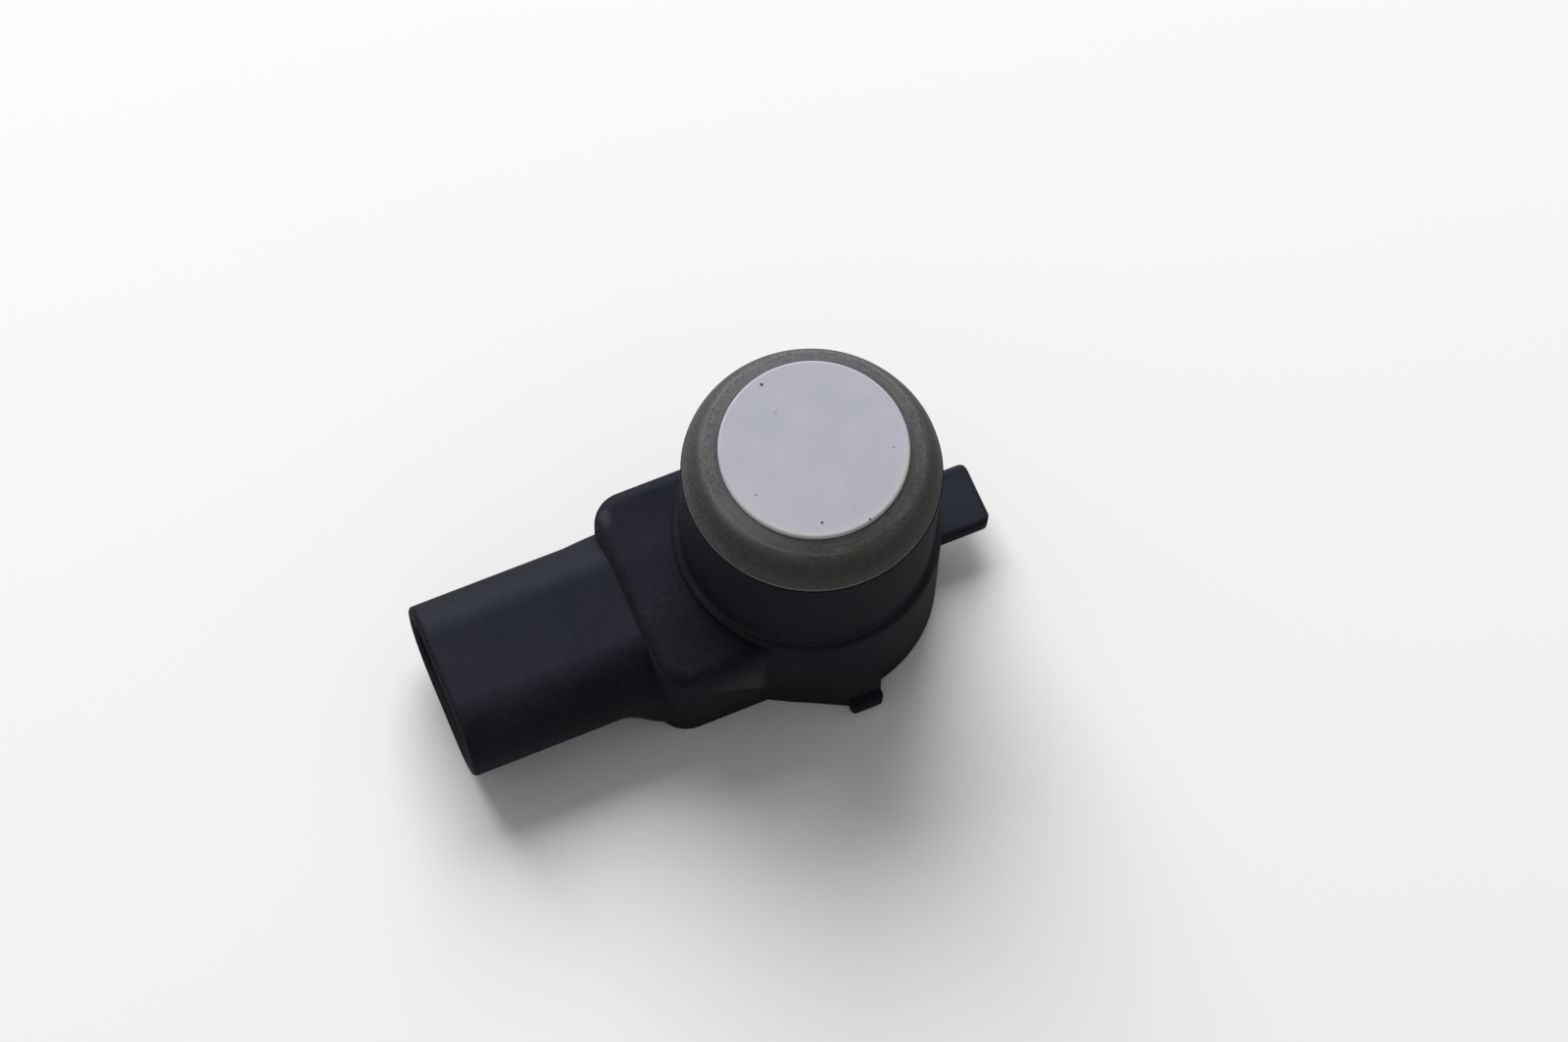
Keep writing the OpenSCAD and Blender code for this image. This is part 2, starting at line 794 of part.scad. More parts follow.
housing();
back_cover();
diaphragm_cup();
decoupling_ring();
piezo_disc();
damping_foam();
cup_plug();
contact_pin_live();
contact_pin_ground();
lead_live();
lead_ground();
circuit_board();
control_chip();
transformer_base();
transformer_core();
transformer_winding();
storage_capacitor();
ceramic_capacitors();
resistors();
terminal_supply();
terminal_signal();
terminal_ground();
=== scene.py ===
import bpy
import numpy as np
from mathutils import Matrix


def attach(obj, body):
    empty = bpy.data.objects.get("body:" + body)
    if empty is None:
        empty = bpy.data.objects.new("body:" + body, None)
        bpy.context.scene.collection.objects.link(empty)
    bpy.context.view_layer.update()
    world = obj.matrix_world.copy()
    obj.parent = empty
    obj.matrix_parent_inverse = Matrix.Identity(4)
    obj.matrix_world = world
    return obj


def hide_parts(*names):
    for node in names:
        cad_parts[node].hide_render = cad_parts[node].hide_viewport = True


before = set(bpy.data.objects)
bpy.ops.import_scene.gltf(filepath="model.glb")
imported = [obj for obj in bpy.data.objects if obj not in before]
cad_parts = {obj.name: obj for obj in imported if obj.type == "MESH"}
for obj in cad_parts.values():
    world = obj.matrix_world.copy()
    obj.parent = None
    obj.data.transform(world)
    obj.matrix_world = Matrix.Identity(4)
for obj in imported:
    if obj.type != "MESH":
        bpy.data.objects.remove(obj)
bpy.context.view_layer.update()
mm = 0.001                                      # sizes below are in millimetres until a mesh is made
tiny = 1e-6
print("frame loaded:", len(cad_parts), "solids")


class Wire:                                     # one output socket, used in sums like a number
    def __init__(self, finish, socket):
        self.finish, self.socket = finish, socket

    def sum(self, operation, first, second):
        return self.finish.node("ShaderNodeMath", {"operation": operation}, {0: first, 1: second})

    def __add__(self, other):
        return self.sum("ADD", self, other)

    def __radd__(self, other):
        return self.sum("ADD", other, self)

    def __sub__(self, other):
        return self.sum("SUBTRACT", self, other)

    def __rsub__(self, other):
        return self.sum("SUBTRACT", other, self)

    def __mul__(self, other):
        return self.sum("MULTIPLY", self, other)

    def __rmul__(self, other):
        return self.sum("MULTIPLY", other, self)

    def __truediv__(self, other):
        return self.sum("DIVIDE", self, other)

    def __pow__(self, other):
        return self.sum("POWER", self, other)


class Finish:                                   # a node tree of a material or of the world
    def __init__(self, owner):
        self.owner = owner
        owner.use_nodes = True
        self.tree = owner.node_tree
        self.tree.nodes.clear()

    def node(self, kind, settings=None, sockets=None, out=0):
        made = self.tree.nodes.new(kind)
        for key, value in (settings or {}).items():
            setattr(made, key, value)
        for key, value in (sockets or {}).items():
            if isinstance(value, Wire):
                self.tree.links.new(value.socket, made.inputs[key])
            else:
                made.inputs[key].default_value = value
        return Wire(self, made.outputs[out] if len(made.outputs) else None)

    def split(self, vector):                    # the three numbers of a vector
        parts = self.node("ShaderNodeSeparateXYZ", None, {0: vector}).socket.node.outputs
        return [Wire(self, part) for part in parts]

    def places(self):                           # object coordinates in mm: the vector and its three numbers
        raw = self.node("ShaderNodeTexCoord", out=3)
        spot = self.node("ShaderNodeVectorMath", {"operation": "SCALE"}, {0: raw, 3: 1 / mm})
        return spot, self.split(spot)

    def vector(self, x, y, z):
        return self.node("ShaderNodeCombineXYZ", None, {0: x, 1: y, 2: z})

    def stretched(self, axes, shares):          # vector of three numbers, each times its share
        return self.vector(*(axis * share for axis, share in zip(axes, shares)))

    def noise(self, spot, perMm, detail=3.0, rough=0.55, bend=0.0):
        return self.node("ShaderNodeTexNoise", None, {"Vector": spot, "Scale": perMm, "Detail": detail,
                                                      "Roughness": rough, "Distortion": bend})

    def cells(self, spot, perMm):
        return self.node("ShaderNodeTexVoronoi", None, {"Vector": spot, "Scale": perMm})

    def step(self, value, low, high):           # 0 below low, 1 above high, an easy curve between; falls if low > high
        start, end, first, last = (low, high, 0.0, 1.0) if low < high else (high, low, 1.0, 0.0)
        return self.node("ShaderNodeMapRange", {"interpolation_type": "SMOOTHSTEP"},
                         {0: value, 1: start, 2: end, 3: first, 4: last})

    def band(self, value, low, high, rise, fall):    # 1 between low and high, eased in over the rise, out over the fall
        return self.step(value, low, low + rise) * self.step(value, high, high - fall)

    def tint(self, share, first, second):       # colour that goes from the first to the second with the share
        def full(c):
            return c if isinstance(c, Wire) else (*c, 1.0)
        return self.node("ShaderNodeMix", {"data_type": "RGBA"}, {0: share, 6: full(first), 7: full(second)}, out=2)

    def relief(self, height, depth, strength=1.0):   # bump of a height 0 to 1 that is depth mm high
        return self.node("ShaderNodeBump", None, {"Height": height, "Distance": depth * mm, "Strength": strength})

    def shade(self, colour, rough, metal=0.0, normal=None, gloss=0.5, glossTint=(1.0, 1.0, 1.0)):
        sockets = {"Base Color": colour, "Roughness": rough, "Metallic": metal, "Specular IOR Level": gloss,
                   "Specular Tint": (*glossTint, 1.0)}
        if normal is not None:
            sockets["Normal"] = normal
        surface = self.node("ShaderNodeBsdfPrincipled", None, sockets)
        self.node("ShaderNodeOutputMaterial", None, {"Surface": surface})
        return self.owner


def newFinish(name):
    return Finish(bpy.data.materials.new(name))


def flatLength(x, y):                           # distance in the plane
    return (x * x + y * y) ** 0.5


# black moulded plastic: mould grain, cloudy tone, pale dust, and walls that are rougher than the flat faces;
# a noise is its grains per mm, detail, roughness and bend, a step is where it starts and where it is full
blackPlastic = dict(dark=(0.0062, 0.0052, 0.0068), pale=(0.0194, 0.0174, 0.0224), dust=(0.05, 0.05, 0.056),
                    dustAndFillLight=(0.034, 0.034, 0.038), grain=7.0, pits=0.55, depth=0.016, dustShare=0.3, swirl=0.1,
                    # the bluish gloss tint colours the plastic's reflections as if the light were bluish: painted light
                    # colour
                    gloss=0.16, tint=(0.56, 0.72, 1.0), rough=0.58, sideRough=0.92, coarse=0.08,
                    grainNoise=(4.0, 0.62), cloudNoise=(0.16, 4.0, 0.6, 0.4), mottleNoise=(2.4, 3.0, 0.7),
                    speckNoise=(2.6, 5.0, 0.72), drawnNoise=(1.0, 3.0), stretch=(0.22, 3.2, 3.2),
                    toneStep=(0.3, 0.72), speckStep=(0.66, 0.76), cloudStep=(0.35, 0.65), aboveStep=(0.35, 0.85),
                    flatStep=(0.15, 0.85), lowStep=(13.0, 4.0), coarseStep=(10.9, 11.3))
coverPlastic = dict(blackPlastic, rough=0.56, grain=5.0, depth=0.02, dustShare=0.2, swirl=0.16)

# wear of the housing, and light and shade painted on it; a mark is its place, its reach, its share and the tone that it
# takes,
# a band is its low, its high, its rise and its fall
housingWearAndLight = dict(
    # the dark tone of the marks beside the tower and on the near side of the hood, and of the tower wall, is painted
    # shade
    handled=(0.0056, 0.0049, 0.0066), bloom=(0.026, 0.029, 0.04), scuff=(0.056, 0.057, 0.066),
    rubbedAndLit=(0.05, 0.043, 0.039), dustAndFillLight=blackPlastic["dustAndFillLight"],
    # the scuff tone and its two marks on the rounded far corner of the body top are a painted highlight
    marks=[(-9.0, -3.0, 11.6, 7.0, 0.6, "handled"), (-14.0, -5.0, 11.6, 5.0, 0.5, "handled"),
           # the mark on the end tab lightens its top: painted light
           (14.4, 0.0, 4.6, 4.0, 0.35, "bloom"), (-15.3, 7.5, 11.4, 0.75, 0.5, "scuff"),
           (-15.4, 6.8, 11.4, 0.6, 0.4, "scuff"), (-20.5, -4.6, 9.4, 4.2, 0.5, "handled")],
    noseX=(-12.9, -7.6, 0.9, 0.8), noseZ=(5.6, 10.5, 1.6, 1.2), noseStep=(-9.33, -9.73), noseWornAndLit=(0.25, 0.85),
    ledge=(10.68, 11.4, 0.07, 0.3), ledgeStep=(11.8, 12.3), ledgeNear=(1.0, -5.0),
    creaseX=(-16.5, -15.9, 0.3, 0.3), creaseZ=(10.65, 11.2, 0.1, 0.2), creaseShare=0.4,
    towerFar=(10.8, 10.75), towerStep=(12.4, 13.3), towerShare=0.4,
    socketFlat=3.2, socketMid=6.0, socketSide=0.3, socketFar=(3.5, 3.35), socketStep=(-17.3, -18.0), socketShare=0.6,
    mouthStep=(-32.65, -33.15), mouthRough=0.4)


def paintHousingWearAndLight(f, w, colour, spot, axes, noises, above):
    # marks fade with the distance to their place, frayed by noise, and stay on upward faces
    x, y, z = axes
    grain, cloud, drawn, mottle = noises
    for *place, reach, share, kind in w["marks"]:
        away = f.node("ShaderNodeVectorMath", {"operation": "DISTANCE"}, {0: spot, 1: place}, out=1)
        near = f.step(away + (cloud - 0.5) * reach + (mottle - 0.5) * reach * 1.6, reach, reach * 0.3)
        colour = f.tint(near * above * share, colour, w[kind])
    # near snap nose paler: rubbed wear, and painted light on its ramp
    nose = f.band(x, *w["noseX"]) * f.step(y, *w["noseStep"]) * f.band(z, *w["noseZ"])
    colour = f.tint(nose * f.step(mottle + drawn * 0.3, *w["noseWornAndLit"]), colour, w["rubbedAndLit"])
    # paler tone on the ledge round the tower and in the crease between hood and body: painted light that fills their
    # shade
    far = flatLength(x, y)
    ledge = f.band(far, *w["ledge"]) * f.step(z, *w["ledgeStep"]) * f.step(y, *w["ledgeNear"])
    colour = f.tint(ledge * (0.36 + grain * 0.44), colour, w["dustAndFillLight"])
    crease = f.band(x, *w["creaseX"]) * f.band(z, *w["creaseZ"])
    colour = f.tint(crease * w["creaseShare"], colour, w["dustAndFillLight"])
    # tower wall darkened: painted shade
    tower = f.step(far, *w["towerFar"]) * f.step(z, *w["towerStep"])
    colour = f.tint(tower * w["towerShare"], colour, w["handled"])
    # paler tone inside the socket: within the rounding of its oval, and before its end; painted light in its shaded
    # hollow
    sides = []
    for value, half in ((y, w["socketFlat"]), (z - w["socketMid"], w["socketSide"])):
        size = f.node("ShaderNodeMath", {"operation": "ABSOLUTE"}, {0: value})
        sides.append(f.node("ShaderNodeMath", {"operation": "MAXIMUM"}, {0: size - half, 1: 0.0}))
    inside = f.step(flatLength(*sides), *w["socketFar"]) * f.step(x, *w["socketStep"])
    return f.tint(inside * w["socketShare"], colour, w["dustAndFillLight"])


def mouldedBlack(name, look, wearAndLight=None):
    f = newFinish(name)
    spot, axes = f.places()
    grain = f.noise(spot, look["grain"], *look["grainNoise"])
    pits = f.cells(spot, look["grain"] * look["pits"])
    cloud = f.noise(spot, *look["cloudNoise"])
    drawn = f.noise(f.stretched(axes, look["stretch"]), *look["drawnNoise"])
    mottle = f.noise(spot, *look["mottleNoise"])
    specks = f.step(f.noise(spot, *look["speckNoise"]), *look["speckStep"]) * f.step(cloud, *look["cloudStep"])
    tone = cloud * 0.4 + grain * 0.2 + mottle * 0.3 + drawn * 0.1
    colour = f.tint(f.step(tone, *look["toneStep"]), look["dark"], look["pale"])
    colour = f.tint(specks * look["dustShare"], colour, look["dust"])
    upward = f.split(f.node("ShaderNodeNewGeometry", out=1))[2]
    above = f.step(upward, *look["aboveStep"])
    low = f.step(axes[2], *look["lowStep"]) * (1.0 - above)    # lower walls are a little paler: dust, and painted light where little light reaches them
    colour = f.tint(low * (0.06 + mottle * 0.16), colour, look["dustAndFillLight"])
    flat = f.step(upward * upward, *look["flatStep"])          # flat faces are smoother than the walls
    rough = look["sideRough"] + flat * (look["rough"] - look["sideRough"])
    rough = rough + flat * f.step(axes[2], *look["coarseStep"]) * look["coarse"]
    if wearAndLight:
        colour = paintHousingWearAndLight(f, wearAndLight, colour, spot, axes, (grain, cloud, drawn, mottle), above)
        rough = rough + f.step(axes[0], *wearAndLight["mouthStep"]) * wearAndLight["mouthRough"]
    rough = rough + (cloud - 0.5) * 0.16 + (grain - 0.5) * 0.12 + (drawn - 0.5) * look["swirl"]
    bump = f.relief(grain * 0.6 + pits * 0.4, look["depth"], 0.5)
    return f.shade(colour, rough, 0.0, bump, look["gloss"], look["tint"])


# satin paint of the membrane: faint orange peel, warm stains, a creamy near edge that also holds painted light against
# the shade of its rounding, grime and a few dark specks;
# a speck is its place, its size and its share
membranePaint = dict(cool=(0.416, 0.422, 0.484), pale=(0.446, 0.45, 0.506), warm=(0.46, 0.42, 0.42),
                     rim=(0.52, 0.51, 0.49), grime=(0.3, 0.27, 0.22), stain=(0.03, 0.022, 0.018),
                     warmShare=0.35, rimShare=0.6, grimeShare=0.4, gloss=0.22, rough=0.5, depth=0.004, edge=7.75,
                     peelNoise=(1.7, 2.0), cloudNoise=(0.22, 3.0, 0.6), frayNoise=(6.0, 3.0),
                     stainNoise=(0.5, 4.0, 0.65, 0.6), cloudStep=(0.35, 0.65), stainStep=(0.6, 0.8),
                     nearStep=(2.0, -5.0),
                     specks=[(-1.73, 6.73, 0.19, 1.0), (-1.93, -6.16, 0.17, 0.85), (1.7, -7.33, 0.15, 0.9),
                             (-5.92, -1.97, 0.12, 0.65), (5.95, -2.36, 0.14, 0.5), (-1.68, 4.02, 0.2, 0.22),
                             (-2.6, -6.6, 0.1, 0.3), (0.9, -6.1, 0.09, 0.3)])


def paintedMembrane(look):
    f = newFinish("membranePaint")
    spot, axes = f.places()
    x, y = axes[:2]
    peel = f.noise(spot, *look["peelNoise"])
    cloud = f.noise(spot, *look["cloudNoise"])
    fray = f.noise(spot, *look["frayNoise"]) - 0.5
    stains = f.noise(spot, *look["stainNoise"])
    far, edge = flatLength(x, y), look["edge"]
    colour = f.tint(f.step(cloud, *look["cloudStep"]), look["cool"], look["pale"])
    colour = f.tint(f.step(stains, *look["stainStep"]) * look["warmShare"], colour, look["warm"])
    # the near edge is creamy paint, lightened further as painted light where its rounding turns into shade
    creamLitNearEdge = f.step(far + fray * 0.2, edge - 0.9, edge - 0.1) * f.step(y, *look["nearStep"])
    colour = f.tint(creamLitNearEdge * look["rimShare"], colour, look["rim"])
    colour = f.tint(f.step(far + fray * 0.7, edge - 0.15, edge + 0.25) * look["grimeShare"], colour, look["grime"])
    for sx, sy, size, share in look["specks"]:  # ragged dot: distance to its centre, frayed by noise
        away = flatLength(x - sx, y - sy) + fray * size * 0.8
        colour = f.tint(f.step(away, size, size * 0.45) * share, colour, look["stain"])
    rough = look["rough"] + (cloud - 0.5) * 0.12
    return f.shade(colour, rough, 0.0, f.relief(peel, look["depth"], 0.6), look["gloss"])


# silicone of the ring: grainy grey, scuffed in short arcs, dirty beside the membrane, darker on the outer slope;
# a worn place is its centre, its reach and its share
siliconeLook = dict(dark=(0.05, 0.05, 0.052), pale=(0.15, 0.15, 0.151), slate=(0.08, 0.085, 0.1),
                    olive=(0.082, 0.076, 0.058), scuff=(0.17, 0.152, 0.122), foot=(0.21, 0.21, 0.19),
                    grime=(0.03, 0.028, 0.024), slope=(0.008, 0.008, 0.009),
                    slateShare=0.45, oliveShare=0.6, scuffShare=0.55, slopeShare=0.56, grimeShare=0.35,
                    gloss=0.2, rough=0.78, depth=0.03, crease=9.15, lip=7.85, footStep=(24.72, 24.54),
                    ringStretch=(2.2, 5.5, 4.0), ringNoise=(1.0, 4.0, 0.6), drawnStretch=(60.0, 1.5, 0.8),
                    drawnNoise=(1.0, 3.0, 0.6), fineNoise=(9.0, 3.0, 0.7), coarseNoise=(3.4, 4.0, 0.65),
                    patchNoise=(0.3, 4.0, 0.6, 0.5), oliveStep=(0.5, 0.8), arcStep=(0.54, 0.64), leftStep=(0.1, 0.8),
                    worn=[(-8.6, -3.6, 3.6, 0.6), (-6.0, -6.2, 3.0, 0.3)])


def scuffedSilicone(look):
    f = newFinish("scuffedSilicone")
    spot, (x, y, z) = f.places()
    far, crease, lip = flatLength(x, y), look["crease"], look["lip"]
    turn = f.node("ShaderNodeMath", {"operation": "ARCTAN2"}, {0: y, 1: x})
    rings = f.noise(f.stretched((turn, far, z), look["ringStretch"]), *look["ringNoise"])
    drawn = f.noise(f.stretched((turn, far, z), look["drawnStretch"]), *look["drawnNoise"])
    fine = f.noise(spot, *look["fineNoise"])
    coarse = f.noise(spot, *look["coarseNoise"])
    patch = f.noise(spot, *look["patchNoise"])
    slope = f.step(far, crease - 0.3, crease + 0.5)
    onTop = 1.0 - slope
    tone = 0.5 + (fine - 0.5) * 1.9 + (coarse - 0.5) * 1.5
    tone = tone + (rings - 0.5) * (0.3 + onTop * 0.8) + (drawn - 0.5) * slope * 0.5
    colour = f.tint(f.step(tone, 0.0, 1.0), look["dark"], look["pale"])
    colour = f.tint(f.step(far, lip + 1.0, lip + 0.3) * look["slateShare"], colour, look["slate"])
    colour = f.tint(f.step(patch - y * 0.022, *look["oliveStep"]) * look["oliveShare"], colour, look["olive"])
    arcs = f.step(rings, *look["arcStep"]) * f.step(patch - y * 0.012 + (coarse - 0.5) * 0.4, 0.45, 0.65)
    colour = f.tint(arcs * onTop * look["scuffShare"], colour, look["scuff"])
    # the crease is paler, mostly on the left: rubbed, and a painted highlight along its rounded edge
    leftward = f.step((y * 0.3 - x) / far, *look["leftStep"])
    rubbedLitCrease = f.band(far, crease - 0.55, crease + 0.3, 0.45, 0.3) * f.step(rings + coarse, 0.85, 1.2)
    colour = f.tint(rubbedLitCrease * (0.25 + leftward * 0.5), colour, look["pale"])
    for wx, wy, reach, share in look["worn"]:
        away = flatLength(x - wx, y - wy) + (coarse - 0.5) * reach
        colour = f.tint(f.step(away, reach, reach * 0.3) * onTop * share, colour, look["pale"])
    shadow = slope * (1.0 - f.step(far, crease + 0.75, crease + 1.4) * 0.45)
    colour = f.tint(shadow * look["slopeShare"], colour, look["slope"])
    grime = f.step(far + (coarse - 0.5) * 0.5, lip + 0.32, lip) * f.step(patch - y * 0.03, 0.35, 0.75)
    colour = f.tint(grime * look["grimeShare"], colour, look["grime"])
    foot = f.step(z, *look["footStep"]) * (0.15 + coarse * 0.5)
    colour = f.tint(foot, colour, look["foot"])
    height = fine * 0.5 + coarse * 0.5 + rings * onTop * 0.3 + drawn * slope * 0.12
    rough = look["rough"] + (coarse - 0.5) * 0.2
    return f.shade(colour, rough, 0.0, f.relief(height, look["depth"], 0.6), look["gloss"])


# metals, laminates and ceramics inside the sensor
def drawnMetal(name, first, second, rough, along, bands=0.0):
    f = newFinish(name)
    spot, axes = f.places()
    stretch = [0.3 if i == along else 5.0 for i in range(3)]
    lines = f.noise(f.stretched(axes, stretch), 1.0, 4.0, 0.6)
    cloud = f.noise(spot, 0.8, 3.0)
    colour = f.tint(f.step(lines * 0.6 + cloud * 0.4, 0.35, 0.65), first, second)
    height, depth = lines, 0.004
    if bands:                                   # turns of wire lying on each other
        height, depth = f.node("ShaderNodeTexWave", {"bands_direction": "Z"}, {"Vector": spot, "Scale": bands}), 0.02
        # the wire is darkened between its turns: painted shade
        colour = f.tint(f.step(height, 0.35, 0.0) * 0.7, colour, tuple(c * 0.25 for c in first))
    return f.shade(colour, rough + (cloud - 0.5) * 0.2, 1.0, f.relief(height, depth, 0.6))


def granular(name, first, second, perMm, rough, depth, gloss=0.4, holes=False):
    f = newFinish(name)
    spot = f.places()[0]
    grain = f.cells(spot, perMm) if holes else f.noise(spot, perMm, 5.0, 0.65)
    cloud = f.noise(spot, 0.4, 3.0)
    colour = f.tint(f.step(grain * 0.7 + cloud * 0.3, 0.25, 0.7), first, second)
    return f.shade(colour, rough + (cloud - 0.5) * 0.15, 0.0, f.relief(grain, depth, 0.7), gloss)


def lacqueredBoard(name, laminate, track, lacquer):
    f = newFinish(name)
    spot, axes = f.places()
    weave = f.noise(f.stretched(axes, (6.0, 6.0, 1.0)), 1.0, 2.0)
    lines = f.node("ShaderNodeTexBrick", {"offset": 0.37}, {
        "Vector": spot, "Scale": 0.55, "Mortar Size": 0.09,
        "Color1": (0, 0, 0, 1), "Color2": (0, 0, 0, 1), "Mortar": (1, 1, 1, 1)}, out=1)
    colour = f.tint(weave, laminate, lacquer)
    colour = f.tint(lines * 0.6, colour, track)
    return f.shade(colour, 0.3 + weave * 0.15, 0.0, f.relief(lines, 0.03, 0.6), 0.5)


copperWire = drawnMetal("copperWire", (0.62, 0.24, 0.1), (0.76, 0.36, 0.18), 0.32, 2)
tinnedBlade = drawnMetal("tinnedBlade", (0.5, 0.51, 0.52), (0.68, 0.68, 0.67), 0.34, 0)
contactTin = drawnMetal("contactTin", (0.6, 0.5, 0.26), (0.72, 0.63, 0.38), 0.3, 2)
windingWire = drawnMetal("windingWire", (0.52, 0.18, 0.07), (0.7, 0.3, 0.13), 0.35, 2, 1.6)
chipMould = granular("chipMould", (0.008, 0.008, 0.009), (0.018, 0.018, 0.02), 9.0, 0.6, 0.01, 0.35)
nodeFinish = {
    "housing": mouldedBlack("housingBlack", blackPlastic, housingWearAndLight),
    "back_cover": mouldedBlack("coverBlack", coverPlastic),
    "piezo_disc": granular("piezoCeramic", (0.5, 0.42, 0.24), (0.62, 0.55, 0.36), 5.0, 0.45, 0.01),
    "damping_foam": granular("foamCells", (0.03, 0.04, 0.055), (0.07, 0.085, 0.11), 2.4, 0.95, 0.12, 0.1, True),
    "cup_plug": granular("plugMould", (0.2, 0.15, 0.08), (0.27, 0.21, 0.125), 6.0, 0.6, 0.012),
    "contact_pin_live": contactTin, "contact_pin_ground": contactTin,
    "lead_live": copperWire, "lead_ground": copperWire,
    "circuit_board": lacqueredBoard("boardLacquer", (0.01, 0.07, 0.025), (0.05, 0.2, 0.07), (0.016, 0.1, 0.04)),
    "control_chip": chipMould, "transformer_base": chipMould, "resistors": chipMould,
    "transformer_core": granular("ferriteGrain", (0.03, 0.03, 0.034), (0.06, 0.06, 0.068), 7.0, 0.55, 0.02),
    "transformer_winding": windingWire,
    "storage_capacitor": drawnMetal("capacitorCan", (0.42, 0.44, 0.47), (0.58, 0.6, 0.62), 0.3, 2),
    "ceramic_capacitors": granular("chipCeramic", (0.3, 0.19, 0.09), (0.42, 0.29, 0.16), 6.0, 0.4, 0.008),
    "terminal_supply": tinnedBlade, "terminal_signal": tinnedBlade, "terminal_ground": tinnedBlade,
}
for nodeName, material in nodeFinish.items():
    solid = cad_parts[nodeName].data
    solid.materials.clear()
    solid.materials.append(material)
print("finishes made:", len(bpy.data.materials))


def addPiece(name, points, faces, material, slot=None):    # mesh from arrays in mm; with a slot it rides on the object
    mesh = bpy.data.meshes.new(name)
    mesh.from_pydata((points * mm).tolist(), [], faces)
    mesh.polygons.foreach_set("use_smooth", np.ones(len(mesh.polygons), bool))
    mesh.materials.append(material)
    mesh.update()
    piece = bpy.data.objects.new(name, mesh)
    bpy.context.scene.collection.objects.link(piece)
    if slot:
        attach(piece, "root")
    return piece


def roundedPath(corners, radii, arcPoints=9, closed=True):
    # each corner is cut where its rounding starts, and an arc of that radius about the rounding's middle joins the cuts
    p = np.array(corners, float)
    made = []
    for i, r in enumerate(radii):
        a, b, c = p[i - 1], p[i], p[(i + 1) % len(p)]
        if r == 0 or (not closed and i in (0, len(p) - 1)):
            made.append(b[None])
            continue
        u, v = (a - b) / np.linalg.norm(a - b), (c - b) / np.linalg.norm(c - b)
        cut = r / np.tan(np.arccos(np.clip(u @ v, -1, 1)) / 2)
        mid = b + (u + v) / np.linalg.norm(u + v) * np.hypot(r, cut)
        start, end = b + u * cut - mid, b + v * cut - mid
        t = np.linspace(0, 1, arcPoints)[:, None]
        ray = start * (1 - t) + end * t
        made.append(mid + ray / np.linalg.norm(ray, axis=1, keepdims=True) * r)
    return np.concatenate(made)


def evenPath(path, gap, closed=True):           # more points on long stretches, so that no step is longer than the gap
    ends = np.roll(path, -1, axis=0) if closed else np.vstack([path[1:], path[-1:]])
    counts = np.maximum(np.ceil(np.linalg.norm(ends - path, axis=1) / gap).astype(int), 1)
    if not closed:
        counts[-1] = 1
    which = np.repeat(np.arange(len(path)), counts)
    share = (np.arange(len(which)) - np.repeat(np.cumsum(counts) - counts, counts)) / counts[which]
    return path[which] + (ends - path)[which] * share[:, None]


def gridFaces(rows, columns, closedRows=True, closedColumns=True):    # quads of a grid that may close on itself
    i, j = np.meshgrid(np.arange(rows - (not closedRows)), np.arange(columns - (not closedColumns)), indexing="ij")
    down, on = (i + 1) % rows, (j + 1) % columns
    return np.stack([i * columns + j, down * columns + j, down * columns + on, i * columns + on], -1).reshape(-1, 4)


# painted cup: its profile from the middle of the face over the edge, down the wall, round the collar and up inside
cupShape = dict(radius=7.75, face=28.8, base=19.3, wall=1.0, skin=0.7, edge=0.24, collar=0.6, collarHeight=1.2,
                collarRound=0.1, innerRound=0.2, crown=0.05, nibHeight=0.03, turns=360, gap=0.07, hiddenGap=0.5)


def paintedCup(s, specks):
    # radius and height come from the profile, the angle runs round; the face is crowned by a parabola,
    # and each speck of dirt under the paint lifts it by a small bell curve
    r, top, base = s["radius"], s["face"], s["base"]
    inner, outer, under, collarTop = r - s["wall"], r + s["collar"], top - s["skin"], base + s["collarHeight"]
    corners = [(0, top), (r, top), (r, collarTop), (outer, collarTop), (outer, base), (inner, base),
               (inner, under), (0, under)]
    radii = [0, s["edge"], 0, s["collarRound"], s["collarRound"], 0, s["innerRound"], 0]
    path = roundedPath(corners, radii, closed=False)
    shows = path[:, 1] > top - s["edge"] + tiny
    path = evenPath(path, np.where(shows, s["gap"], s["hiddenGap"]), False)[1:-1]    # the two poles come last
    apart = np.linalg.norm(np.diff(path, axis=0), axis=1) > tiny
    path = path[np.concatenate([[True], apart])]
    turn = np.linspace(0, 2 * np.pi, s["turns"], endpoint=False)
    radius, angle = np.meshgrid(path[:, 0], turn, indexing="ij")
    height = np.repeat(path[:, 1:], s["turns"], axis=1)
    x, y = radius * np.cos(angle), radius * np.sin(angle)
    lift = s["crown"] * (1 - (radius / r) ** 2) - s["crown"]
    for sx, sy, size, share in specks:
        lift = lift + s["nibHeight"] * share * np.exp(-((x - sx) ** 2 + (y - sy) ** 2) / (size * 0.7) ** 2)
    height = height + np.where(height > top - s["edge"] - tiny, lift, 0.0)
    points = np.stack([x, y, height], -1).reshape(-1, 3)
    rows, columns = radius.shape
    topPole, lowPole, lastRow = len(points), len(points) + 1, (rows - 1) * columns
    points = np.vstack([points, [0, 0, top], [0, 0, under]])
    j = np.arange(columns)
    on = (j + 1) % columns
    capTop = np.stack([np.full(columns, topPole), j, on], -1)
    capLow = np.stack([np.full(columns, lowPole), lastRow + on, lastRow + j], -1)
    return points, gridFaces(rows, columns, closedRows=False).tolist() + capTop.tolist() + capLow.tolist()


cupPoints, cupFaces = paintedCup(cupShape, membranePaint["specks"])
cup = addPiece("membraneCup", cupPoints, cupFaces, paintedMembrane(membranePaint), "membrane_paint")
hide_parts("diaphragm_cup")
print("membrane cup:", len(cupPoints), "points")

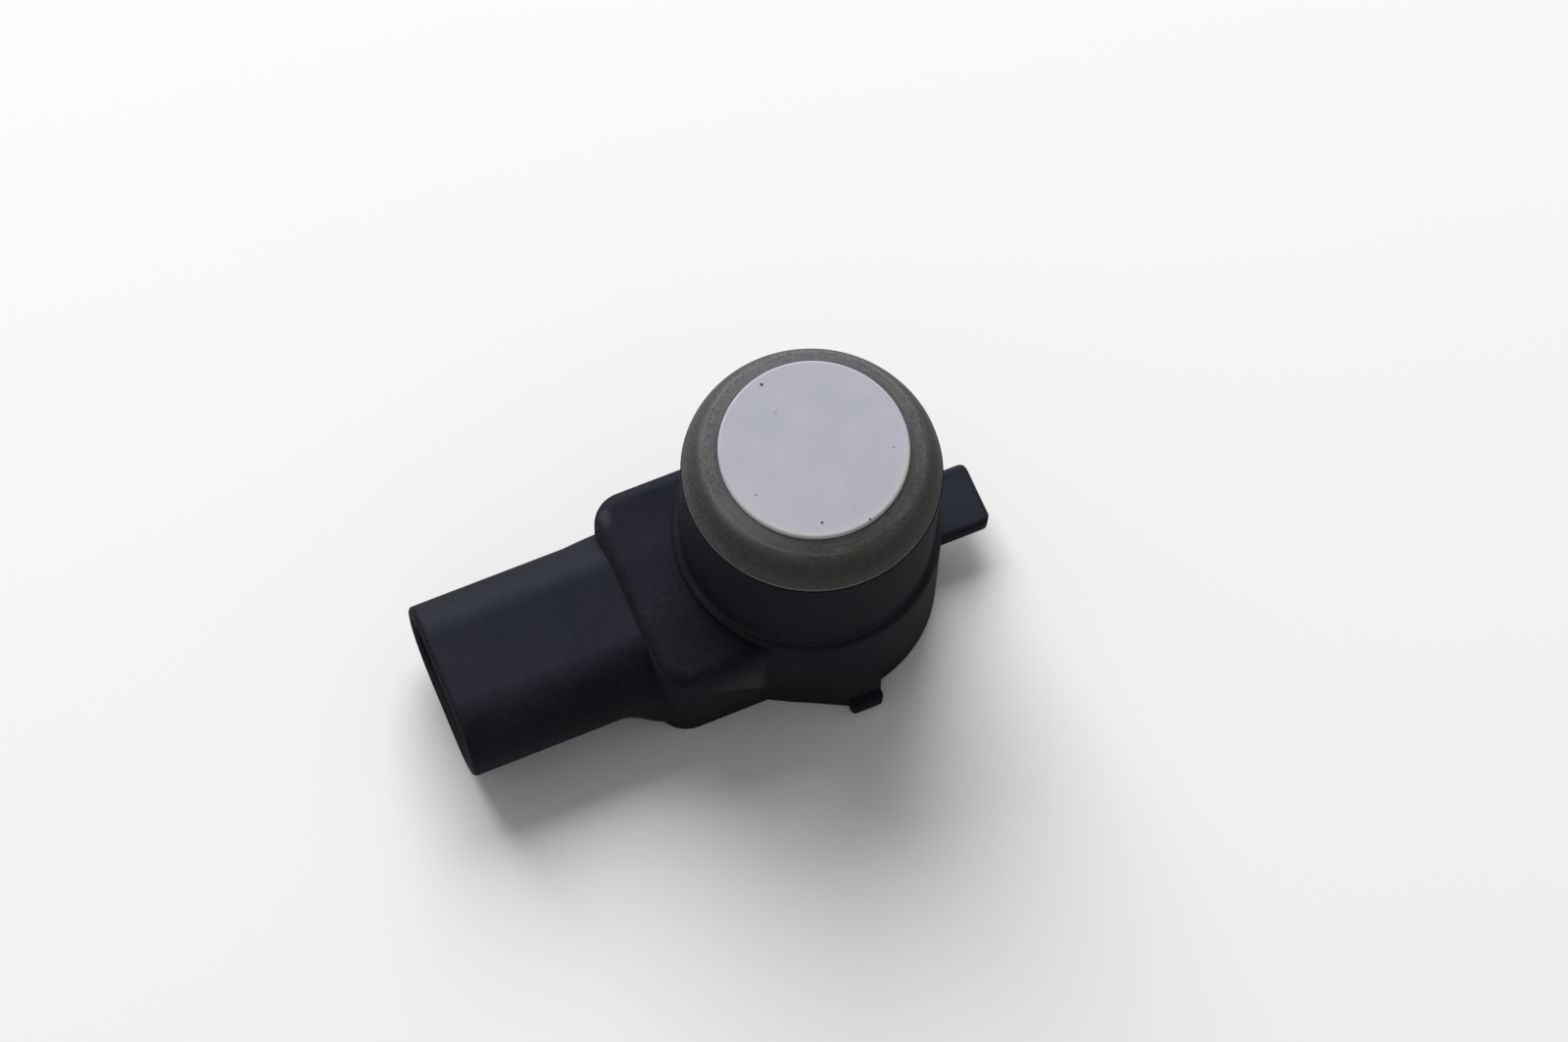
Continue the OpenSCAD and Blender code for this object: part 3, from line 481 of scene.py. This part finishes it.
# silicone ring: closed section carried round the axis, scuffed, a little wavy and nicked where it shows;
# a wave is its count round the ring, its start and its share, a nick its angle, its radius, its depth and its width
ringShape = dict(inner=7.77, top=28.5, crease=(9.15, 27.8), creaseRound=1.0, foot=10.6, footTop=24.65, rim=24.3,
                 sleeve=9.3, floor=18.1, floorInner=6.15, cupBase=19.3, groove=8.4, grooveTop=20.55,
                 lipRound=0.08, footRound=0.05, turns=540, gap=0.09, hiddenGap=0.5, wave=0.02,
                 waves=[(2, 0.7, 0.6), (5, 2.1, 0.3), (9, 0.0, 0.15)], scuff=0.012, scuffCount=31.0, scuffBend=9.0,
                 nicks=[(2.35, 9.2, 0.05, 0.3), (3.6, 8.6, 0.04, 0.25), (4.9, 9.6, 0.05, 0.35),
                        (5.7, 9.0, 0.035, 0.22), (0.4, 9.9, 0.04, 0.3), (4.3, 10.2, 0.05, 0.28)])


def scuffedRing(s):
    # points are profile radius and height turned round the axis; the part that shows moves along its normal by
    # slow waves, by circular scuffs that fade in and out round the ring, and by bell shaped nicks
    corners = [(s["inner"], s["grooveTop"]), (s["groove"], s["grooveTop"]), (s["groove"], s["cupBase"]),
               (s["floorInner"], s["cupBase"]), (s["floorInner"], s["floor"]), (s["sleeve"], s["floor"]),
               (s["sleeve"], s["rim"]), (s["foot"], s["rim"]), (s["foot"], s["footTop"]), s["crease"],
               (s["inner"], s["top"])]
    radii = [0] * 7 + [s["footRound"], s["lipRound"], s["creaseRound"], s["lipRound"]]
    path = roundedPath(corners, radii)
    outside = (path[:, 1] > s["rim"] + tiny) & (path[:, 0] > s["inner"] + tiny)
    path = evenPath(path, np.where(outside, s["gap"], s["hiddenGap"]))
    along = np.roll(path, -1, axis=0) - np.roll(path, 1, axis=0)
    normal = np.stack([along[:, 1], -along[:, 0]], -1) / np.linalg.norm(along, axis=1, keepdims=True)
    turn = np.linspace(0, 2 * np.pi, s["turns"], endpoint=False)[None]
    radius, height = path[:, :1], path[:, 1:]
    shows = np.clip((height - s["rim"] - 0.1) / 0.4, 0, 1) * np.clip((radius - s["inner"] - 0.02) / 0.25, 0, 1)
    wave = s["wave"] * sum(np.sin(count * turn + start) * share for count, start, share in s["waves"])
    fade = 0.5 + 0.5 * np.sin(3 * turn + radius * 4.0) * np.sin(turn * 2.0 + 1.3)
    scuff = np.sin(radius * s["scuffCount"] + np.sin(radius * s["scuffBend"] + turn) * 1.5)
    move = wave + s["scuff"] * scuff * fade
    for at, where, depth, width in s["nicks"]:
        apart = np.angle(np.exp(1j * (turn - at))) * where
        move = move - depth * np.exp(-(apart / width) ** 2 - ((radius - where) / (width * 0.6)) ** 2)
    move = move * shows
    r, z = radius + normal[:, :1] * move, height + normal[:, 1:] * move
    points = np.stack([r * np.cos(turn), r * np.sin(turn), z], -1).reshape(-1, 3)
    return points, gridFaces(len(path), s["turns"])[:, ::-1].tolist()    # turned over, so that the faces look out


ringPoints, ringFaces = scuffedRing(ringShape)
ring = addPiece("siliconeRing", ringPoints, ringFaces, scuffedSilicone(siliconeLook), "silicone")
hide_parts("decoupling_ring")
print("silicone ring:", len(ringPoints), "points")

# bead of weld squeezed out along the seam between the back cover and the body;
# a swell is its count along the seam, its start and its share
weldShape = dict(baseRadius=11.35, bodyHalf=9.3, bodyEnd=16.45, corner=2.9, inset=0.79, lift=0.125, bead=0.1,
                 uneven=0.3, swells=[(23, 0, 0.4), (57, 1, 0.35), (131, 0, 0.25)],
                 arcPoints=240, cornerPoints=24, length=900, sides=10)


def weldBead(s):
    # a small circle carried along the seam, which is the plan outline drawn in by the inset;
    # sines along the seam swell and shrink the circle
    r, half, end = s["baseRadius"] - s["inset"], s["bodyHalf"] - s["inset"], s["bodyEnd"] - s["inset"]
    corner = s["corner"] - s["inset"]
    meet = np.arctan2(half, -np.sqrt(r * r - half * half))
    arc = np.linspace(meet, -meet, s["arcPoints"])
    start = np.stack([r * np.cos(arc), r * np.sin(arc)], -1)
    box = roundedPath([start[-1], (-end, -half), (-end, half), start[0]], [0, corner, corner, 0],
                      s["cornerPoints"], False)
    path = np.vstack([start, box[1:-1]])
    loop = np.vstack([path, path[:1]])
    place = np.concatenate([[0], np.cumsum(np.linalg.norm(np.diff(loop, axis=0), axis=1))])
    at = np.linspace(0, place[-1], s["length"], endpoint=False)
    line = np.stack([np.interp(at, place, loop[:, k]) for k in range(2)], -1)
    ahead = np.roll(line, -1, axis=0) - np.roll(line, 1, axis=0)
    side = np.stack([ahead[:, 1], -ahead[:, 0]], -1) / np.linalg.norm(ahead, axis=1, keepdims=True)
    cycle = at / place[-1] * 2 * np.pi
    swell = sum(np.sin(cycle * count + start) * share for count, start, share in s["swells"])
    size = s["bead"] * (1 + s["uneven"] * swell)
    around = np.linspace(0, 2 * np.pi, s["sides"], endpoint=False)
    flat = line[:, None] + side[:, None] * (size[:, None] * np.cos(around))[..., None]
    z = s["lift"] + size[:, None] * np.sin(around)
    points = np.concatenate([flat, z[..., None]], -1).reshape(-1, 3)
    return points, gridFaces(s["length"], s["sides"]).tolist()


weldPoints, weldFaces = weldBead(weldShape)
addPiece("weldBead", weldPoints, weldFaces, nodeFinish["back_cover"], "cover_plastic")
print("weld bead:", len(weldPoints), "points")

# pale floor, one large soft lamp from behind and a weak light all round
stageLook = dict(floorSize=2400.0, floorPoints=13, floorTone=0.93, drop=0.03, skyFront=0.24, skyBack=0.42, skyLow=0.1,
                 lampPlace=(110.0, 930.0, 780.0), lampAim=(0.0, 0.0, 15.0), lampSize=1000.0, lampPower=18.6)


def paleFloor(s):
    side = np.linspace(-s["floorSize"] / 2, s["floorSize"] / 2, s["floorPoints"])
    x, y = np.meshgrid(side, side, indexing="ij")
    points = np.stack([x, y, np.full_like(x, -s["drop"])], -1).reshape(-1, 3)
    f = newFinish("paleFloor")
    paint = f.node("ShaderNodeBsdfDiffuse", None, {"Color": (*[s["floorTone"]] * 3, 1.0)})
    f.node("ShaderNodeOutputMaterial", None, {"Surface": paint})
    floor = addPiece("floor", points, gridFaces(*x.shape, False, False).tolist(), f.owner)


def softSky(s):                                 # brighter behind the object and near the horizon
    world = bpy.data.worlds.new("softSky")
    bpy.context.scene.world = world
    f = Finish(world)
    toBack, toTop = f.split(f.node("ShaderNodeTexCoord", out=0))[1:]
    level = f.step(toBack, -0.4, 0.9) * (s["skyBack"] - s["skyFront"]) + s["skyFront"]
    level = level + f.step(toTop, 0.6, 0.1) * s["skyLow"]
    sky = f.node("ShaderNodeBackground", None, {"Color": (1.0, 1.0, 1.0, 1.0), "Strength": level})
    f.node("ShaderNodeOutputWorld", None, {"Surface": sky})


def stand(name, data, right, up, back, spot):   # object of a lamp or camera, which looks against its back axis
    made = bpy.data.objects.new(name, data)
    bpy.context.scene.collection.objects.link(made)
    turn = np.eye(4)
    turn[:3] = np.stack([right, up, back, np.array(spot) * mm], -1)
    made.matrix_world = Matrix(turn.tolist())
    return made


def softLamp(s):                                # square lamp turned to the object's middle
    data = bpy.data.lights.new("keyLamp", "AREA")
    data.size, data.energy = s["lampSize"] * mm, s["lampPower"]
    back = np.array(s["lampPlace"]) - np.array(s["lampAim"])
    back = back / np.linalg.norm(back)
    right = np.cross([0, 0, 1], back)
    right = right / np.linalg.norm(right)
    stand("keyLamp", data, right, np.cross(back, right), back, s["lampPlace"])


paleFloor(stageLook)
softSky(stageLook)
softLamp(stageLook)

# camera at the photograph's angle: turned about the pivot, raised, rolled and shifted aside, in degrees and mm
cameraLook = dict(turn=-27.22, rise=68.09, roll=4.48, distance=334.47, aside=(2.15, -2.58), pivot=(0.0, 0.0, 20.0),
                  lens=93.4676, sensor=36.0, nearest=0.01, farthest=10.0)


def placeCamera(c):
    a, e, r = np.radians([c["turn"], c["rise"], c["roll"]])
    back = np.array([np.sin(a) * np.cos(e), -np.cos(a) * np.cos(e), np.sin(e)])
    level = np.array([np.cos(a), np.sin(a), 0.0])
    over = np.cross(back, level)
    right, up = np.cos(r) * level + np.sin(r) * over, np.cos(r) * over - np.sin(r) * level
    spot = np.array(c["pivot"]) - c["aside"][0] * right + c["aside"][1] * up + c["distance"] * back
    data = bpy.data.cameras.new("camera")
    data.lens, data.sensor_width, data.sensor_fit = c["lens"], c["sensor"], "HORIZONTAL"
    data.clip_start, data.clip_end = c["nearest"], c["farthest"]
    bpy.context.scene.camera = stand("camera", data, right, up, back, spot)


placeCamera(cameraLook)
bpy.context.scene.view_settings.view_transform = "Standard"
print("stage set")
